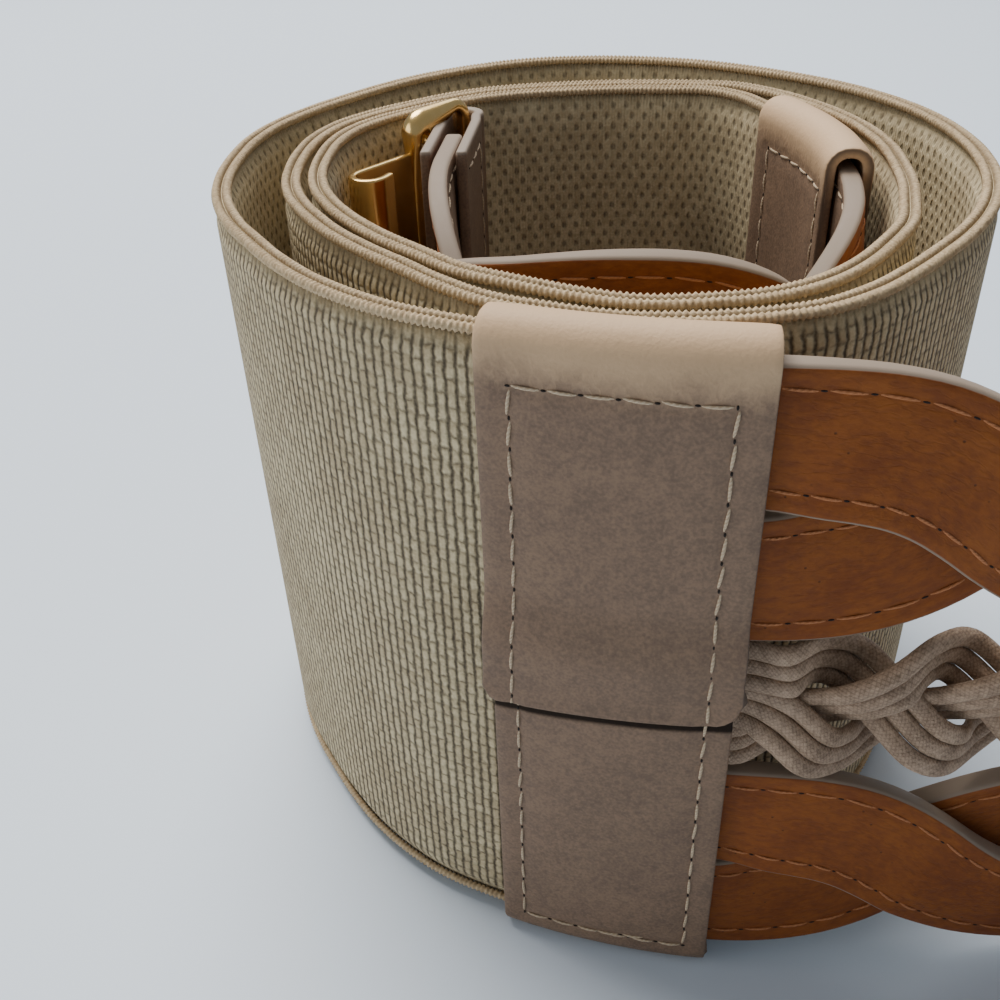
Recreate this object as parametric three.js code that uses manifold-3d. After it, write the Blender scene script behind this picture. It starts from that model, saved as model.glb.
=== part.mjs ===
// A wide elastic stretch belt, wound into a coil and standing on its edge.
// Each piece is made straight, x along the belt, y outward and z up, and is then laid on a winding course.
import * as THREE from "three";
import { mergeVertices } from "three/addons/utils/BufferGeometryUtils.js";
import Module from "manifold-3d";

const wasm = await Module();
wasm.setup();

const degrees = THREE.MathUtils.degToRad;

// All sizes are in millimetres.
const clearance = 0.3; // between pieces that touch

// Elastic band
const bandWidth = 75;
const bandThickness = 2.5; // over the ridges along its two edges
const bandHollow = 0.25; // how far the woven face lies below the ridges
const ridgeHeight = 2.4;
const bandStep = 5.8;

// Coil
const coilRadius = 46;
const looseRoom = 13; // the widest room between two turns, past the clearance
const coilStart = degrees(-107); // bearing of the coil's start from +X, seen from above
const coilTurned = 941; // degrees, from the outer elastic tab to the inner one

// The outer turn's shape: a radius at each angle turned, as a share of coilRadius.
const coilOutline = [
  { turned: 0, share: 1.022 },
  { turned: 12, share: 1.004 },
  { turned: 23, share: 0.978 },
  { turned: 43, share: 0.94 },
  { turned: 73, share: 0.94 },
  { turned: 95, share: 0.961 },
  { turned: 113, share: 0.967 },
  { turned: 140, share: 1.033 },
  { turned: 159, share: 1.075 },
  { turned: 183, share: 1.046 },
  { turned: 203, share: 1.002 },
  { turned: 229, share: 0.98 },
  { turned: 260, share: 0.961 },
  { turned: 289, share: 0.972 },
  { turned: 305, share: 1 },
  { turned: 316, share: 1.05 },
  { turned: 328, share: 1.087 },
  { turned: 342, share: 1.08 },
];
// The room to the turn outside, as a share of looseRoom. Before one full turn it leads the band inward.
const coilRoom = [
  { turned: 0, share: 0 },
  { turned: 290, share: 0 },
  { turned: 316, share: 0.06 },
  { turned: 342, share: 0.155 },
  { turned: 360, share: 0.17 },
  { turned: 372, share: 0.33 },
  { turned: 381, share: 0.4 },
  { turned: 398, share: 0.36 },
  { turned: 457, share: 0.39 },
  { turned: 500, share: 0.79 },
  { turned: 519, share: 1 },
  { turned: 543, share: 0.82 },
  { turned: 563, share: 0.475 },
  { turned: 590, share: 0.54 },
  { turned: 626, share: 0.49 },
  { turned: 645, share: 0.355 },
  { turned: 662, share: 0.16 },
  { turned: 703, share: 0.055 },
  { turned: 720, share: 0.115 },
  { turned: 732, share: 0.03 },
  { turned: 760, share: 0.01 },
  { turned: 903, share: 0.01 },
  { turned: 914, share: 0.02 },
  { turned: 941, share: 0.22 },
];

// Leather tabs that wrap over the band's two edges
const leather = 1.2;
const elasticTabLength = 23.5;
const seamHeight = 35.5; // the upper flap's edge, above the floor
const flapLap = 6; // how far the flaps overlap
const flapGap = 0.1;
const foldRadius = 1.3; // of the leather's middle where it folds over an edge
const footShare = 0.8; // of the width between the lower folds, which rests on the floor
const seatDepth = 9; // of the band, straps and braid inside a tab

// Straps, in two pairs with the braid between them
const sectionLength = 84; // from an elastic tab to a clasp tab
const rowInset = 1.1;
const rowGap = 1.05;
const braidWidth = 15;
const strapThickness = 2.2;
const strapChamfer = 0.35;
const strapLiftShare = 0.8; // of a strap and its clearance, from the middle plane where two straps cross
const twistDwell = 0.25; // slows the twist where a strap runs along the top or bottom

// Braid
const strandCount = 3;
const strandThickness = 1.8;
const strandGap = 0.3;
const strandShoulder = 0.6; // the flat share of a strand's width
const strandLiftShare = 1.15; // of a strand and its clearance, from the middle plane where two strands cross
const lobePitch = 11;
const strandTilt = 0.25;
const braidEase = 6; // the length over which the flat strands turn into a braid

// Courses of the two strap sections
const outerTabTurn = 16; // degrees
const outerCourse = [
  { share: 0.1, level: 0.75 }, // level: the part of the heading at the tab that this stretch takes out
  { share: 0.3, level: 0.25 },
  { share: 0.6, level: 0 },
];
const innerTabTurn = -30;
// Each share is of coilRadius. The rest of the section follows.
const innerCourse = [
  { share: 0.183, turn: -10 },
  { share: 0.429, turn: -65 },
  { share: 0.411, turn: -10 },
  { share: 0.265, turn: -75 },
];
const innerEndTurn = -35.3; // degrees that the rest of the section turns in a length of coilRadius
const claspRoom = 4.4; // the least room from the inner clasp's bar to the middle of the band outside it

// Clasp
const claspTabLength = 17.6; // to the bar's middle
const claspTabRoom = 0.45; // between the straps' faces and the leather
const wire = 1.8;
const wireRound = 0.3;
const hookWindow = 9.6; // between the middles of the hook's bar and its cross bar
const ringWindow = 13;
const frameCorner = 2.2;
const hookFold = degrees(145); // the hook's turn from the belt's own direction
const plateLength = 9.6;
const plateThickness = 1;
const plateInset = 5;
const lipRadius = 2.1;
const lipSweep = 200; // degrees
const lipSteps = 9;
const lipEnd = 1.5;

const colours = {
  elastic: { color: 0xaba08b, roughness: 0.9, metalness: 0 },
  leather: { color: 0x9d8979, roughness: 0.55, metalness: 0 },
  strap: { color: 0xa9703f, roughness: 0.6, metalness: 0 },
  cord: { color: 0x99846f, roughness: 0.8, metalness: 0 },
  gold: { color: 0xd9b56d, roughness: 0.2, metalness: 1 },
};

const middle = leather + bandWidth / 2 + clearance; // height of the belt's middle line
const claspHeight = 2 * middle;
const wrapOffset = bandThickness / 2 + clearance + leather / 2; // from the middle plane to the leather's own
const strapWidth = (bandWidth - 2 * rowInset - braidWidth - 4 * rowGap) / 4;
const pairSpacing = (strapWidth + rowGap) / 2;
const pairHeight = braidWidth / 2 + rowGap + strapWidth + rowGap / 2;
const crossLift = strapLiftShare * (strapThickness + clearance);
const strandLift = strandLiftShare * (strandThickness + clearance);
const strandWidth = (braidWidth - (strandCount - 1) * strandGap) / strandCount;
const strandTurn = (2 * Math.PI) / strandCount; // between the phases of two strands
const claspTabOffset = strapThickness / 2 + claspTabRoom + leather / 2; // of the leather's own middle
const claspFoldRadius = wire / 2 + 2 * clearance + leather / 2;
const claspTabHeight = claspHeight - 2 * (wire + clearance);
const mergeReach = 1e-4;

// A smooth value between the rows of a table, which never runs past its rows.
function readTable(rows, turned) {
  const after = rows.findIndex((row) => row.turned > turned);
  if (after < 0) return rows[rows.length - 1].share;
  if (after === 0) return rows[0].share;
  const rise = (i) => (rows[i + 1].share - rows[i].share) / (rows[i + 1].turned - rows[i].turned);
  const slope = (i) => {
    if (i <= 0 || i >= rows.length - 1) return 0;
    const [left, right] = [rise(i - 1), rise(i)];
    return left * right > 0 ? (2 * left * right) / (left + right) : 0;
  };
  const [low, high] = [rows[after - 1], rows[after]];
  const span = high.turned - low.turned;
  const t = (turned - low.turned) / span;
  const ease = t * t * (3 - 2 * t);
  const curl = span * t * (1 - t) * (slope(after - 1) * (1 - t) - slope(after) * t);
  return low.share + (high.share - low.share) * ease + curl;
}

const fullTurn = 360;
const outlineRows = [-fullTurn, 0, fullTurn].flatMap((shift) =>
  coilOutline.map((row) => ({ turned: row.turned + shift, share: row.share })),
);

// The room that the turns outside take in all.
function roomTaken(turned) {
  const own = looseRoom * readTable(coilRoom, turned);
  return turned > fullTurn ? own + roomTaken(turned - fullTurn) : own;
}

function coilPoint(turned) {
  const outline = coilRadius * readTable(outlineRows, turned % fullTurn);
  const radius = outline - (bandThickness + clearance) * (turned / fullTurn) - roomTaken(turned);
  const bearing = coilStart - degrees(turned);
  return new THREE.Vector2(radius * Math.cos(bearing), radius * Math.sin(bearing));
}

// Walks from a point along stretches that each turn evenly.
function walk(point, heading, stretches) {
  const stepLength = 0.5;
  const points = [];
  const at = point.clone();
  let direction = heading;
  for (const { length, turn } of stretches) {
    const steps = Math.ceil(length / stepLength);
    for (let i = 0; i < steps; i += 1) {
      direction += turn / steps / 2;
      at.add(new THREE.Vector2(Math.cos(direction), Math.sin(direction)).multiplyScalar(length / steps));
      direction += turn / steps / 2;
      points.push(at.clone());
    }
  }
  return points;
}

const coilStep = 1.5; // degrees
const coilCount = Math.round(coilTurned / coilStep);
const coilPoints = Array.from({ length: coilCount + 1 }, (_, i) => coilPoint((coilTurned * i) / coilCount));
const headingOf = (from, to) => to.clone().sub(from).angle();

// From the coil's outer end outward: the elastic tab, the strap section and the clasp tab.
const outward = headingOf(coilPoints[1], coilPoints[0]) - 2 * Math.PI;
const tabHeading = outward + degrees(outerTabTurn);
const outerPoints = walk(coilPoints[0], outward, [
  { length: elasticTabLength, turn: degrees(outerTabTurn) },
  ...outerCourse.map((row) => ({ length: row.share * sectionLength, turn: -row.level * tabHeading })),
  { length: claspTabLength, turn: 0 },
]);
const coilEnd = coilPoints[coilCount];
const innerRest = sectionLength - coilRadius * innerCourse.reduce((sum, row) => sum + row.share, 0);
const innerWalk = (lastTurn) =>
  walk(coilEnd, headingOf(coilPoints[coilCount - 1], coilEnd), [
    { length: elasticTabLength, turn: degrees(innerTabTurn) },
    ...innerCourse.map((row) => ({ length: row.share * coilRadius, turn: degrees(row.turn) })),
    { length: innerRest, turn: lastTurn },
    { length: claspTabLength, turn: 0 },
  ]);

// The distance from a point to the coil's last turn, along the radius.
function roomOutside(point) {
  const turned = THREE.MathUtils.radToDeg(coilStart - point.angle());
  const back = THREE.MathUtils.euclideanModulo(coilTurned - turned, fullTurn);
  return coilPoint(coilTurned - back).length() - point.length();
}

// The section's last stretch turns evenly, and further where the clasp's bar would lack its room.
function innerLastTurn() {
  const halvings = 30;
  let [tight, loose] = [-Math.PI / 2, (degrees(innerEndTurn) * innerRest) / coilRadius];
  for (let i = 0; i < halvings; i += 1) {
    const turn = (tight + loose) / 2;
    if (roomOutside(innerWalk(turn).pop()) > claspRoom) tight = turn;
    else loose = turn;
  }
  return loose;
}

const innerPoints = innerWalk(innerLastTurn());
const course = [...outerPoints.reverse(), ...coilPoints, ...innerPoints];

// Distance along the course, zero where the coil starts.
const travelled = [0];
course.slice(1).forEach((point, i) => travelled.push(travelled[i] + point.distanceTo(course[i])));
const coilStartTravel = travelled[outerPoints.length];
const bandLength = travelled[outerPoints.length + coilCount] - coilStartTravel;

// The plan point and the heading at a distance along the belt.
function courseAt(distance) {
  const target = distance + coilStartTravel;
  let after = travelled.findIndex((length) => length > target);
  if (after < 0) after = travelled.length - 1;
  if (after === 0) after = 1;
  const from = course[after - 1];
  const to = course[after];
  const share = (target - travelled[after - 1]) / (travelled[after] - travelled[after - 1]);
  const before = course[Math.max(after - 2, 0)];
  const beyond = course[Math.min(after + 1, course.length - 1)];
  const start = to.clone().sub(before).normalize();
  const end = beyond.clone().sub(from).normalize();
  const along = start.lerp(end, THREE.MathUtils.clamp(share, 0, 1)).normalize();
  return { point: from.clone().lerp(to, share), along };
}

// Lays a straight piece on the course. place moves each of its points within the belt's own frame first.
function layOnCourse(geometry, start, place = (x, y, z) => [x, y, z]) {
  const position = geometry.getAttribute("position");
  for (let i = 0; i < position.count; i += 1) {
    const [x, y, z] = place(position.getX(i), position.getY(i), position.getZ(i));
    const { point, along } = courseAt(start + x);
    position.setXYZ(i, point.x - along.y * y, point.y + along.x * y, z + middle);
  }
  return closed(geometry);
}

// Points left at the same place become one, which keeps each mesh a closed body.
function closed(geometry) {
  geometry.deleteAttribute("normal");
  geometry.deleteAttribute("uv");
  const merged = mergeVertices(geometry, mergeReach);
  merged.computeVertexNormals();
  return merged;
}

// Extrudes a cross-section, drawn with y across and z up, along x.
function extrudeAlong(section, length, steps) {
  const geometry = new THREE.ExtrudeGeometry(section, { depth: length, steps, bevelEnabled: false });
  const turn = new THREE.Matrix4().makeBasis(
    new THREE.Vector3(0, 1, 0),
    new THREE.Vector3(0, 0, 1),
    new THREE.Vector3(1, 0, 0),
  );
  return geometry.applyMatrix4(turn);
}

// The outline of a strip that follows a middle line.
function stripShape(line, thickness) {
  const side = (sign) =>
    line.map((point, i) => {
      const from = line[Math.max(i - 1, 0)];
      const to = line[Math.min(i + 1, line.length - 1)];
      const along = to.clone().sub(from).normalize();
      const offset = (sign * thickness) / 2;
      return new THREE.Vector2(point.x - along.y * offset, point.y + along.x * offset);
    });
  return new THREE.Shape([...side(1), ...side(-1).reverse()]);
}

// Points of an arc, angles in degrees.
function arcPoints(x, y, radius, from, to, count) {
  return Array.from({ length: count + 1 }, (_, i) => {
    const angle = degrees(from + ((to - from) * i) / count);
    return new THREE.Vector2(x + radius * Math.cos(angle), y + radius * Math.sin(angle));
  });
}

const belt = new THREE.Group();

function addPiece(name, geometry, look, parent = belt) {
  const mesh = new THREE.Mesh(geometry, new THREE.MeshStandardMaterial(colours[look]));
  mesh.name = name;
  parent.add(mesh);
  return mesh;
}

// The woven band, with a ridge along each edge.
function elasticBand() {
  const half = bandThickness / 2;
  const face = half - bandHollow;
  const top = bandWidth / 2;
  const quarter = [
    [face, top - ridgeHeight],
    [half, top - ridgeHeight / 2],
    [half / 2, top],
  ];
  const corner = (y, z) => quarter.map(([a, b]) => new THREE.Vector2(a * y, b * z));
  const section = new THREE.Shape([
    ...corner(1, 1),
    ...corner(-1, 1).reverse(),
    ...corner(-1, -1),
    ...corner(1, -1).reverse(),
  ]);
  const length = bandLength + 2 * seatDepth;
  return layOnCourse(extrudeAlong(section, length, Math.round(length / bandStep)), -seatDepth);
}

// Leather wrapped round the belt: under the lower edge, up the inner face, over the top and down the outer.
function elasticTabSection() {
  const low = -middle + leather / 2;
  const flat = wrapOffset - foldRadius;
  const foot = flat * footShare;
  const outer = wrapOffset + leather + flapGap;
  const seam = seamHeight - middle;
  const foldSteps = 3;
  const lean = seam + 2 * flapLap; // the height at which the upper flap leaves the band's face
  return stripShape(
    [
      new THREE.Vector2(wrapOffset, seam + flapLap),
      ...arcPoints(flat, low + foldRadius, foldRadius, 0, -90, foldSteps),
      new THREE.Vector2(foot, low),
      new THREE.Vector2(-foot, low),
      ...arcPoints(-flat, low + foldRadius, foldRadius, -90, -180, foldSteps),
      ...arcPoints(-flat, -low - foldRadius, foldRadius, 180, 90, foldSteps),
      ...arcPoints(flat, -low - foldRadius, foldRadius, 90, 0, foldSteps),
      new THREE.Vector2(wrapOffset, lean + flapLap),
      new THREE.Vector2((wrapOffset + outer) / 2, lean),
      new THREE.Vector2(outer, seam + flapLap + leather),
      new THREE.Vector2(outer, seam),
    ],
    leather,
  );
}

function elasticTab(start) {
  const tabStep = 3;
  const steps = Math.round(elasticTabLength / tabStep);
  return layOnCourse(extrudeAlong(elasticTabSection(), elasticTabLength, steps), start);
}

// The angle at which a height climbs along the belt.
function slopeOf(heightAt, x) {
  const reach = 0.5;
  return Math.atan((heightAt(x + reach) - heightAt(x - reach)) / (2 * reach));
}

// A strap's phase in its twist, from the share of the section that lies behind it.
function twistPhase(share) {
  const turn = 2 * Math.PI * THREE.MathUtils.clamp(share, 0, 1);
  return turn - twistDwell * Math.sin(2 * turn);
}

// pair is 1 for the upper pair and -1 for the lower, row is 0 for a pair's upper strap and 1 for its lower.
function strap(start, pair, row, front) {
  const halfWidth = strapWidth / 2;
  const halfThickness = strapThickness / 2;
  const section = new THREE.Shape([
    new THREE.Vector2(halfThickness, -halfWidth + strapChamfer),
    new THREE.Vector2(halfThickness, halfWidth - strapChamfer),
    new THREE.Vector2(halfThickness - strapChamfer, halfWidth),
    new THREE.Vector2(-halfThickness + strapChamfer, halfWidth),
    new THREE.Vector2(-halfThickness, halfWidth - strapChamfer),
    new THREE.Vector2(-halfThickness, -halfWidth + strapChamfer),
    new THREE.Vector2(-halfThickness + strapChamfer, -halfWidth),
    new THREE.Vector2(halfThickness - strapChamfer, -halfWidth),
  ]);
  const length = sectionLength + 2 * seatDepth;
  const strapStep = 3.4;
  const phaseAt = (x) => twistPhase((x - seatDepth) / sectionLength) + row * Math.PI;
  const heightAt = (x) => pair * pairHeight + pairSpacing * Math.cos(phaseAt(x));
  const liftEase = 0.2; // the swing by which a strap has lifted most of the way
  const place = (x, y, z) => {
    const slope = slopeOf(heightAt, x);
    const [swing, side] = [Math.sin(phaseAt(x)), Math.cos(phaseAt(x))];
    const lift = (crossLift * front * swing) / Math.hypot(swing, liftEase);
    const shingle = lift * (1 - Math.abs(side) / 2 - (side * z) / strapWidth);
    return [x - z * Math.sin(slope), y + shingle, heightAt(x) + z * Math.cos(slope)];
  };
  const ribbon = extrudeAlong(section, length, Math.round(length / strapStep));
  return layOnCourse(ribbon, start - seatDepth, place);
}

// A strand's phase in the braid: it starts and ends slowly, and runs evenly between.
function braidPhase(x) {
  const share = THREE.MathUtils.clamp((x - seatDepth) / sectionLength, 0, 1);
  const ease = braidEase / sectionLength;
  const toEnd = Math.min(share, 1 - share, ease);
  const run = share < 0.5 ? toEnd ** 2 / (2 * ease) : 1 - ease - toEnd ** 2 / (2 * ease);
  const middleRun = THREE.MathUtils.clamp(share, ease, 1 - ease) - (share < 0.5 ? ease : 1 - ease);
  const crossings = Math.round((2 * sectionLength) / lobePitch) - 1;
  return ((strandTurn / 2) * crossings * (run + middleRun)) / (1 - ease);
}

// One of the three bundles of cord of a flat braid.
function braidStrand(start, index) {
  const halfWidth = strandWidth / 2;
  const halfThickness = strandThickness / 2;
  const shoulder = halfWidth * strandShoulder;
  const section = new THREE.Shape([
    new THREE.Vector2(halfThickness, -shoulder),
    new THREE.Vector2(halfThickness, shoulder),
    new THREE.Vector2(0, halfWidth),
    new THREE.Vector2(-halfThickness, shoulder),
    new THREE.Vector2(-halfThickness, -shoulder),
    new THREE.Vector2(0, -halfWidth),
  ]);
  const length = sectionLength + 2 * seatDepth;
  const strandStep = 3.3;
  const amplitude = (braidWidth - strandWidth) / 2;
  const spread = (strandWidth + strandGap) / Math.sin(strandTurn);
  const place = (x, y, z) => {
    const run = THREE.MathUtils.clamp(x - seatDepth, 0, sectionLength);
    const braided = THREE.MathUtils.smoothstep(Math.min(run, sectionLength - run), 0, braidEase);
    const reach = THREE.MathUtils.lerp(spread, amplitude, braided);
    const phaseOf = (distance) => braidPhase(distance) + strandTurn * index;
    const heightOf = (distance) => reach * Math.sin(phaseOf(distance));
    const slope = slopeOf(heightOf, x);
    const phase = phaseOf(x);
    const lift = braided * (strandLift * Math.sin(2 * phase) + strandTilt * Math.cos(phase) * z);
    return [x - z * Math.sin(slope), y - lift, heightOf(x) + z * Math.cos(slope)];
  };
  const bundle = extrudeAlong(section, length, Math.round(length / strandStep));
  return layOnCourse(bundle, start - seatDepth, place);
}

// Leather folded round a clasp's bar, in plan with the bar's middle at the origin and the straps behind it.
function claspTab() {
  const foldReach = 120; // degrees either way round the bar
  const foldSteps = 12;
  const fold = arcPoints(0, 0, claspFoldRadius, -foldReach, foldReach, foldSteps);
  const neck = fold[0].x - claspFoldRadius;
  const line = [
    new THREE.Vector2(-claspTabLength, -claspTabOffset),
    new THREE.Vector2(neck, -claspTabOffset),
    ...fold,
    new THREE.Vector2(neck, claspTabOffset),
    new THREE.Vector2(-claspTabLength, claspTabOffset),
  ];
  const geometry = new THREE.ExtrudeGeometry(stripShape(line, leather), {
    depth: claspTabHeight,
    steps: 1,
    bevelEnabled: false,
  });
  return closed(geometry.translate(0, 0, middle - claspTabHeight / 2));
}

// A frame of wire, drawn with x away from its bar and z up, and the bar's middle at x = 0.
function wireFrame(depth) {
  const half = wire / 2;
  const rounded = (inset, corner) => {
    const shape = new THREE.Shape();
    const [left, right] = [-half + inset, depth + half - inset];
    const [low, high] = [inset, claspHeight - inset];
    shape.moveTo(left + corner, low);
    shape.lineTo(right - corner, low);
    shape.absarc(right - corner, low + corner, corner, -Math.PI / 2, 0);
    shape.lineTo(right, high - corner);
    shape.absarc(right - corner, high - corner, corner, 0, Math.PI / 2);
    shape.lineTo(left + corner, high);
    shape.absarc(left + corner, high - corner, corner, Math.PI / 2, Math.PI);
    shape.lineTo(left, low + corner);
    shape.absarc(left + corner, low + corner, corner, Math.PI, 1.5 * Math.PI);
    return shape;
  };
  const frame = rounded(wireRound, frameCorner - wireRound);
  frame.holes.push(rounded(wire - wireRound, clearance));
  const geometry = new THREE.ExtrudeGeometry(frame, {
    depth: wire - 2 * wireRound,
    bevelThickness: wireRound,
    bevelSize: wireRound,
    bevelSegments: 1,
    curveSegments: 4,
  });
  const upright = new THREE.Matrix4().makeBasis(
    new THREE.Vector3(1, 0, 0),
    new THREE.Vector3(0, 0, 1),
    new THREE.Vector3(0, -1, 0),
  );
  return closed(geometry.translate(0, 0, wireRound - half).applyMatrix4(upright));
}

// The wide plate beyond the hook's frame, rolled into a lip at its end.
function hookPlate() {
  const end = hookWindow + plateLength;
  const lip = arcPoints(end, lipRadius, lipRadius, -90, -90 + lipSweep, lipSteps);
  const [last, tip] = lip.slice(-2);
  const onward = tip.clone().sub(last).setLength(lipEnd);
  const line = [new THREE.Vector2(hookWindow, 0), ...lip, tip.clone().add(onward)];
  const height = claspHeight - 2 * plateInset;
  const profile = stripShape(line, plateThickness);
  const geometry = new THREE.ExtrudeGeometry(profile, { depth: height, bevelEnabled: false });
  return closed(geometry.translate(0, 0, plateInset));
}

// Two closed shapes joined into one.
function joined(first, second) {
  const solid = (geometry) =>
    new wasm.Manifold(
      new wasm.Mesh({
        numProp: 3,
        vertProperties: geometry.getAttribute("position").array,
        triVerts: new Uint32Array(geometry.index.array),
      }),
    );
  const mesh = solid(bare(first)).add(solid(bare(second))).getMesh();
  const geometry = new THREE.BufferGeometry();
  geometry.setAttribute("position", new THREE.BufferAttribute(mesh.vertProperties, 3));
  geometry.setIndex(new THREE.BufferAttribute(mesh.triVerts, 1));
  geometry.computeVertexNormals();
  return geometry;
}

function bare(geometry) {
  geometry.deleteAttribute("normal");
  return mergeVertices(geometry, mergeReach);
}

// A group that stands at a place on the course, with x along the belt.
function stationAt(distance, turn = 0) {
  const { point, along } = courseAt(distance);
  const station = new THREE.Group();
  station.position.set(point.x, point.y, 0);
  station.rotation.z = along.angle() + turn;
  belt.add(station);
  return station;
}

const outerMouth = -elasticTabLength;
const innerMouth = bandLength + elasticTabLength;
const outerBar = outerMouth - sectionLength - claspTabLength;
const innerBar = innerMouth + sectionLength + claspTabLength;

addPiece("elastic_band", elasticBand(), "elastic");
addPiece("outer_elastic_tab", elasticTab(outerMouth), "leather");
addPiece("inner_elastic_tab", elasticTab(bandLength), "leather");

const sections = [
  { side: "outer", start: outerMouth - sectionLength, front: -1 },
  { side: "inner", start: innerMouth, front: 1 },
];
const rows = [
  { pair: 1, row: 0 },
  { pair: 1, row: 1 },
  { pair: -1, row: 0 },
  { pair: -1, row: 1 },
];
for (const { side, start, front } of sections) {
  rows.forEach(({ pair, row }, i) => {
    addPiece(`${side}_strap_${i + 1}`, strap(start, pair, row, front), "strap");
  });
  for (let index = 0; index < strandCount; index += 1) {
    addPiece(`${side}_braid_strand_${index + 1}`, braidStrand(start, index), "cord");
  }
}

addPiece("inner_clasp_tab", claspTab(), "leather", stationAt(innerBar));
addPiece("outer_clasp_tab", claspTab(), "leather", stationAt(outerBar, Math.PI));
addPiece("clasp_hook", joined(wireFrame(hookWindow), hookPlate()), "gold", stationAt(innerBar, hookFold));
addPiece("clasp_ring", wireFrame(ringWindow), "gold", stationAt(outerBar, Math.PI));

// The part's own frame: the middle of its footprint, on the floor.
belt.updateMatrixWorld(true);
const box = new THREE.Box3().setFromObject(belt, true);
const footprint = box.getCenter(new THREE.Vector3());
belt.position.set(-footprint.x, -footprint.y, -box.min.z);

export default belt;
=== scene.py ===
# An elastic stretch belt wound into a coil: woven band, leather tabs, straps, braid and gold clasp.
import bisect
import math
import random

import bmesh
import bpy
from mathutils import Matrix, Vector


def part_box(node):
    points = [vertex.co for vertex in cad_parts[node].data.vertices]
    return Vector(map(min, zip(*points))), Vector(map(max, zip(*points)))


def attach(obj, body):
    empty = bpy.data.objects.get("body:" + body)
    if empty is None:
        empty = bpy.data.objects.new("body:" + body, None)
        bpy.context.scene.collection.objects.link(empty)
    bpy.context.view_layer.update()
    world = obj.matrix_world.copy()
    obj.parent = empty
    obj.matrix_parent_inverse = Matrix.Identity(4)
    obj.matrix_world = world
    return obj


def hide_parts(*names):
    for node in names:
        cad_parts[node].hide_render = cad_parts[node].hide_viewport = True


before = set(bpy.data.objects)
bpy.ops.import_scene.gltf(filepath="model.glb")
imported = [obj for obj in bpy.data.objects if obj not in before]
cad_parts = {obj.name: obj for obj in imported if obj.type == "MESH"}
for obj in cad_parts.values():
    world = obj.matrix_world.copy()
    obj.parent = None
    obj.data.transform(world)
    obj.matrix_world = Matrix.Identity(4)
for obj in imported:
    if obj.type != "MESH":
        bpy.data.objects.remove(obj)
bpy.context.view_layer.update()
mm = 0.001
upward = Vector((0, 0, 1))
placeName = "beltPlace"  # each point's place in the straight belt, in mm: along, outward and up


def makeCamera():
    camera = {
        "rightOfCoil": 30.91,  # mm from the coil's left side
        "beforeBack": 174.37,  # mm in front of the coil's back
        "height": 113.5,
        "pitch": 34.28,  # degrees down
        "roll": -2.32,
        "sensor": 36,
        "focalShare": 1.08,  # of the sensor's width
    }
    low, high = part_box("elastic_band")
    place = Vector((low.x, high.y, 0))
    place += Vector((camera["rightOfCoil"], -camera["beforeBack"], camera["height"])) * mm
    data = bpy.data.cameras.new("camera")
    data.sensor_width = camera["sensor"]
    data.lens = camera["sensor"] * camera["focalShare"]
    data.clip_start = 0.005
    looker = bpy.data.objects.new("camera", data)
    tilt = Matrix.Rotation(math.radians(90 - camera["pitch"]), 4, "X")
    roll = Matrix.Rotation(math.radians(camera["roll"]), 4, "Z")
    looker.matrix_world = Matrix.Translation(place) @ tilt @ roll
    bpy.context.scene.collection.objects.link(looker)
    bpy.context.scene.camera = looker


makeCamera()


# Courses: where each strip of the belt runs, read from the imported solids


def endCaps(bm):
    flat, square = math.radians(1), math.radians(80)
    caps, seen = [], set()
    for face in bm.faces:
        if face in seen:
            continue
        patch, queue = {face}, [face]
        while queue:
            for edge in queue.pop().edges:
                for other in edge.link_faces:
                    if other not in patch and other.normal.angle(face.normal) < flat:
                        patch.add(other)
                        queue.append(other)
        seen |= patch
        border = [e for f in patch for e in f.edges if not all(g in patch for g in e.link_faces)]
        if all(e.calc_face_angle() > square for e in border):
            caps.append({v for f in patch for v in f.verts})
    return caps


def readRings(node, startNode):  # the solid's cross-sections in order, from the end that startNode holds
    bm = bmesh.new()
    bm.from_mesh(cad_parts[node].data)
    bmesh.ops.remove_doubles(bm, verts=bm.verts, dist=0.001 * mm)
    low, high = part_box(startNode)
    start = (low + high) / 2
    distance = lambda cap: (sum((v.co for v in cap), Vector()) / len(cap) - start).length
    layer = min(endCaps(bm), key=distance)
    rings, seen = [], set()
    while layer:
        rings.append([v.co.copy() for v in layer])
        seen |= layer
        layer = {e.other_vert(v) for v in layer for e in v.link_edges} - seen
    bm.free()
    return rings


def middleOf(points):
    return sum(points, Vector()) / len(points)


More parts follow.
